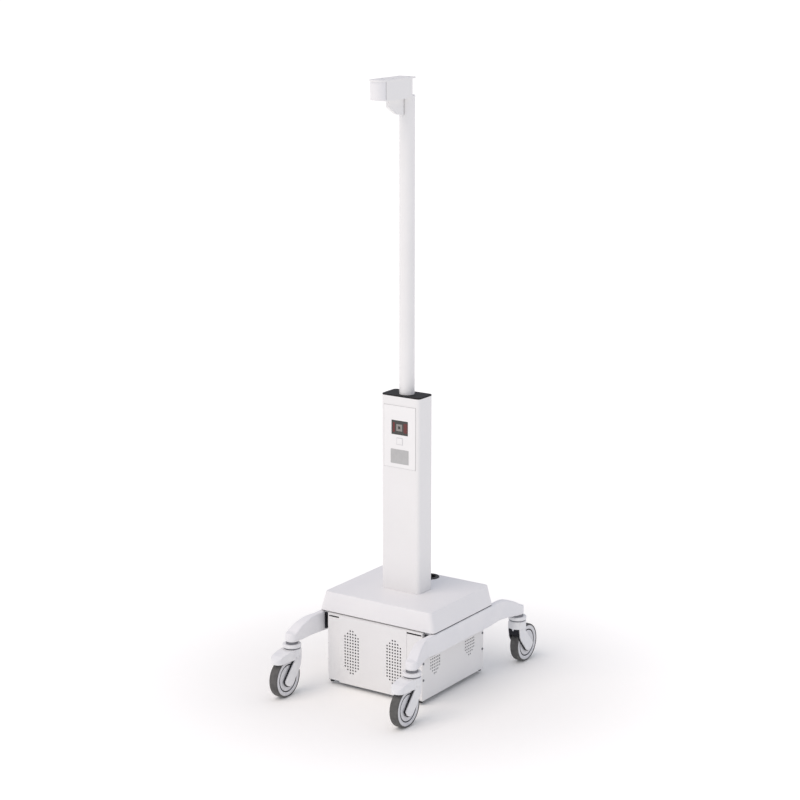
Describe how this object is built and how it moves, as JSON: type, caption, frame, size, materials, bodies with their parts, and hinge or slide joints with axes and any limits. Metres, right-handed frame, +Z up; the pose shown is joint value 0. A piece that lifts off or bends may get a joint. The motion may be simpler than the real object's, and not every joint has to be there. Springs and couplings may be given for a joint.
{
  "type": "mobile x-ray stand",
  "caption": "Mobile stand for an intraoral x-ray unit: caster base with vented enclosure, column with control panel, round mast and a pivot head for the arm.",
  "frame": {"origin": "on the floor, under the mast axis and midway between the casters", "axes": "+Z up along the mast, -Y to the front where the control panel is, +X to the right"},
  "size_m": [0.5108, 0.826, 1.918],
  "materials": {
    "painted_white": "fine satin powder coat",
    "cover_plastic": "satin moulded plastic",
    "white_plastic": "satin moulded plastic",
    "black_plastic": "fine textured black plastic",
    "black_rubber": "smooth rubber",
    "tyre_grey": "smooth grey rubber tread",
    "wheel_grey": "moulded polypropylene",
    "steel": "zinc plated",
    "dark_steel": "black oxide",
    "panel_white": "satin overlay",
    "screen": "glossy",
    "keypad_grey": "membrane",
    "board_green": "solder mask",
    "battery_case": "moulded case",
    "cast_aluminium": "cast"
  },
  "bodies": {
    "stand": {"back_panel": "painted_white", "base_cover": "cover_plastic", "battery_pack": "battery_case", "cable_grommet": "black_rubber", "caster_collars": "white_plastic", "caster_stems": "dark_steel", "chassis_plate": "painted_white", "column_bolts": "steel", "column_cap": "black_plastic", "column_foot": "steel", "column_housing": "painted_white", "control_panel_plate": "panel_white", "controller_board": "board_green", "corner_bumpers": "black_rubber", "corner_posts": "painted_white", "cover_screws": "steel", "display_glass": "screen", "enclosure_floor": "steel", "front_panel": "painted_white", "head_base_plate": "painted_white", "head_channel": "painted_white", "head_gusset": "painted_white", "head_nose": "white_plastic", "head_screws": "steel", "head_top_plate": "painted_white", "left_leg": "painted_white", "left_side_panel": "painted_white", "leg_bolts": "steel", "leg_brackets": "dark_steel", "mast_plug": "steel", "mast_spacers": "black_plastic", "mast_tube": "painted_white", "membrane_keypad": "keypad_grey", "power_inverter": "cast_aluminium", "right_leg": "painted_white", "right_side_panel": "painted_white", "side_panel_screws": "dark_steel"},
    "front_left_swivel": {"front_left_fork": "dark_steel", "front_left_fork_cover": "white_plastic", "front_left_axle": "steel"},
    "front_left_roller": {"front_left_wheel": "wheel_grey", "front_left_tyre": "tyre_grey"},
    "front_left_pedal": {"front_left_brake_pedal": "white_plastic"},
    "front_right_swivel": {"front_right_fork": "dark_steel", "front_right_fork_cover": "white_plastic", "front_right_axle": "steel"},
    "front_right_roller": {"front_right_wheel": "wheel_grey", "front_right_tyre": "tyre_grey"},
    "front_right_pedal": {"front_right_brake_pedal": "white_plastic"},
    "rear_left_swivel": {"rear_left_fork": "dark_steel", "rear_left_fork_cover": "white_plastic", "rear_left_axle": "steel"},
    "rear_left_roller": {"rear_left_wheel": "wheel_grey", "rear_left_tyre": "tyre_grey"},
    "rear_right_swivel": {"rear_right_fork": "dark_steel", "rear_right_fork_cover": "white_plastic", "rear_right_axle": "steel"},
    "rear_right_roller": {"rear_right_wheel": "wheel_grey", "rear_right_tyre": "tyre_grey"},
    "power_button": {"power_button": "panel_white"}
  },
  "joints": [
    {"name": "front_left_swivel", "type": "hinge", "parent": "stand", "child": "front_left_swivel", "pos_m": [-0.226, -0.3105, 0.135], "axis": [0, 0, 1], "continuous": true},
    {"name": "front_left_roll", "type": "hinge", "parent": "front_left_swivel", "child": "front_left_roller", "pos_m": [-0.226, -0.3505, 0.0625], "axis": [1, 0, 0], "continuous": true},
    {"name": "front_left_brake", "type": "hinge", "parent": "front_left_swivel", "child": "front_left_pedal", "pos_m": [-0.226, -0.3345, 0.133], "axis": [1, 0, 0], "range_deg": [0, 5]},
    {"name": "front_right_swivel", "type": "hinge", "parent": "stand", "child": "front_right_swivel", "pos_m": [0.226, -0.3105, 0.135], "axis": [0, 0, 1], "continuous": true},
    {"name": "front_right_roll", "type": "hinge", "parent": "front_right_swivel", "child": "front_right_roller", "pos_m": [0.226, -0.3505, 0.0625], "axis": [1, 0, 0], "continuous": true},
    {"name": "front_right_brake", "type": "hinge", "parent": "front_right_swivel", "child": "front_right_pedal", "pos_m": [0.226, -0.3345, 0.133], "axis": [1, 0, 0], "range_deg": [0, 5]},
    {"name": "rear_left_swivel", "type": "hinge", "parent": "stand", "child": "rear_left_swivel", "pos_m": [-0.226, 0.3105, 0.135], "axis": [0, 0, 1], "continuous": true},
    {"name": "rear_left_roll", "type": "hinge", "parent": "rear_left_swivel", "child": "rear_left_roller", "pos_m": [-0.226, 0.3505, 0.0625], "axis": [1, 0, 0], "continuous": true},
    {"name": "rear_right_swivel", "type": "hinge", "parent": "stand", "child": "rear_right_swivel", "pos_m": [0.226, 0.3105, 0.135], "axis": [0, 0, 1], "continuous": true},
    {"name": "rear_right_roll", "type": "hinge", "parent": "rear_right_swivel", "child": "rear_right_roller", "pos_m": [0.226, 0.3505, 0.0625], "axis": [1, 0, 0], "continuous": true},
    {"name": "power_button_press", "type": "slide", "parent": "stand", "child": "power_button", "axis": [0, 1, 0], "range_m": [0, 0.001], "stiffness_N_per_m": 600, "springref_m": -0.001}
  ]
}
